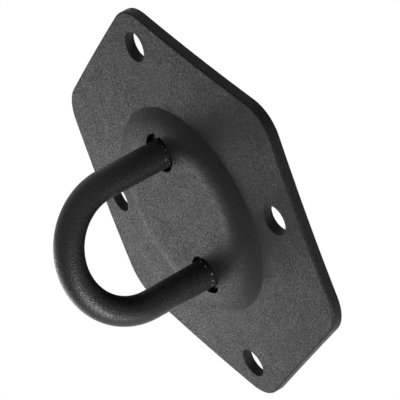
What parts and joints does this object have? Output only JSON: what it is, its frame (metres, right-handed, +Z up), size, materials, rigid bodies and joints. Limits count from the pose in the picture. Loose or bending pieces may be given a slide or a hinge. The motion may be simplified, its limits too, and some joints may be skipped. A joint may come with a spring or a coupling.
{
  "type": "exercise wall anchor",
  "caption": "Hexagonal steel wall plate with a pressed round boss and a U-shaped loop of rod for hooking on exercise bands.",
  "frame": {"origin": "centre of the plate's flat back face, where it meets the wall", "axes": "+Z up the wall from corner to corner, +Y into the wall, +X along the wall; the loop stands out towards -Y"},
  "size_m": [0.1256, 0.059, 0.1406],
  "materials": {
    "powder_coat": "fine matt black powder coat",
    "loop_coat": "satin black powder coat",
    "weld_coat": "black powder coat over weld bead"
  },
  "bodies": {
    "root": {"base_plate": "powder_coat", "loop": "loop_coat", "upper_weld": "weld_coat", "lower_weld": "weld_coat"}
  },
  "joints": []
}
